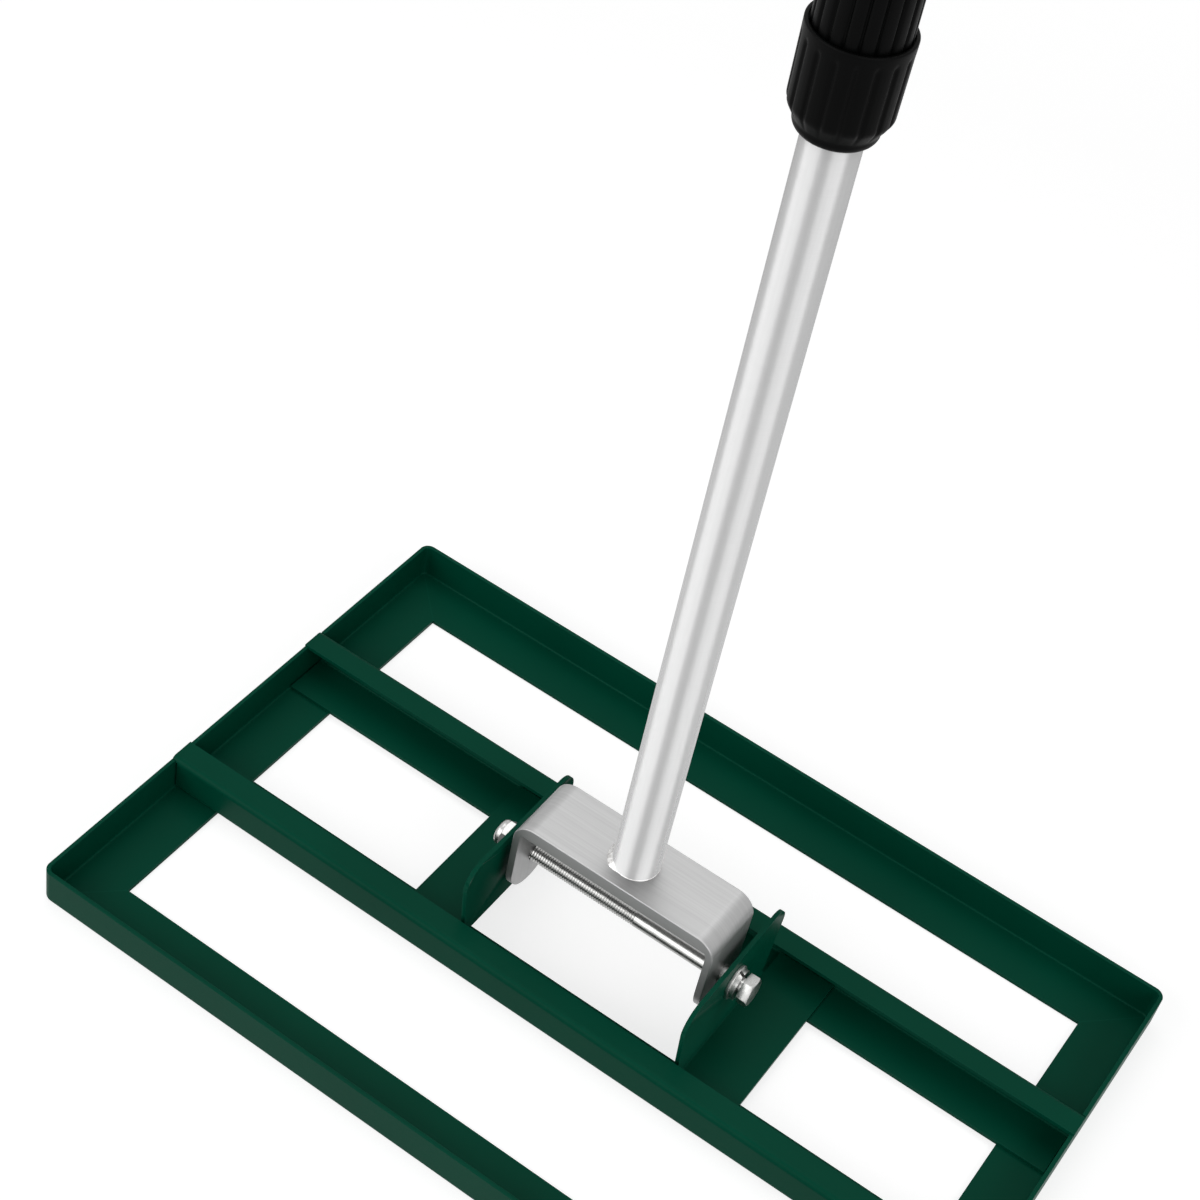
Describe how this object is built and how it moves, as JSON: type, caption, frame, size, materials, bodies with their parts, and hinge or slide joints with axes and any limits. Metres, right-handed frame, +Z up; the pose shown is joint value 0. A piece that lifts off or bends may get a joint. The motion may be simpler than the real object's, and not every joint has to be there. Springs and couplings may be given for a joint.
{
  "type": "lawn leveling rake",
  "caption": "Lawn leveling rake: an open green steel frame with a bolted pivot and a telescopic steel handle with a twist lock.",
  "frame": {"origin": "on the ground, under the middle of the steel frame", "axes": "+X along the frame to the end with the bolt head, +Y across the frame away from the user, +Z up along the upright handle"},
  "size_m": [0.432, 0.284, 1.4825],
  "materials": {
    "green_coat": "satin powder coat, deep green",
    "brushed_bar": "brushed along its length",
    "weld_metal": "bright rippled bead",
    "bright_tube": "polished, with a fine grain along it",
    "fastener_steel": "bright, smooth",
    "black_plastic": "satin black",
    "nylon": "matte, natural white",
    "grip_rubber": "matte black"
  },
  "bodies": {
    "head": {"front_rail": "green_coat", "rear_rail": "green_coat", "left_rail": "green_coat", "right_rail": "green_coat", "front_crossbar": "green_coat", "rear_crossbar": "green_coat", "left_bracket": "green_coat", "right_bracket": "green_coat", "pivot_bolt": "fastener_steel", "flat_washer": "fastener_steel", "spring_washer": "fastener_steel", "lock_nut": "fastener_steel", "nut_insert": "nylon"},
    "lower_handle": {"clevis": "brushed_bar", "clevis_stiffener": "brushed_bar", "tube_weld": "weld_metal", "lower_tube": "bright_tube", "guide_plug": "black_plastic"},
    "clamp": {"clamp_ring": "nylon"},
    "upper_handle": {"lock_body": "black_plastic", "upper_tube": "bright_tube", "grip": "grip_rubber", "end_cap": "black_plastic"},
    "collar": {"lock_collar": "black_plastic"}
  },
  "joints": [
    {"name": "head_pivot", "type": "hinge", "parent": "head", "child": "lower_handle", "pos_m": [0, 0, 0.038], "axis": [1, 0, 0], "range_deg": [-90, 90]},
    {"name": "handle_slide", "type": "slide", "parent": "lower_handle", "child": "clamp", "axis": [0, 0, 1], "range_m": [-0.355, 0.45]},
    {"name": "handle_swivel", "type": "hinge", "parent": "clamp", "child": "upper_handle", "pos_m": [0, 0, 0.47], "axis": [0, 0, 1], "continuous": true},
    {"name": "lock_twist", "type": "hinge", "parent": "upper_handle", "child": "collar", "pos_m": [0, 0, 0.475], "axis": [0, 0, 1], "range_deg": [0, 120]}
  ]
}
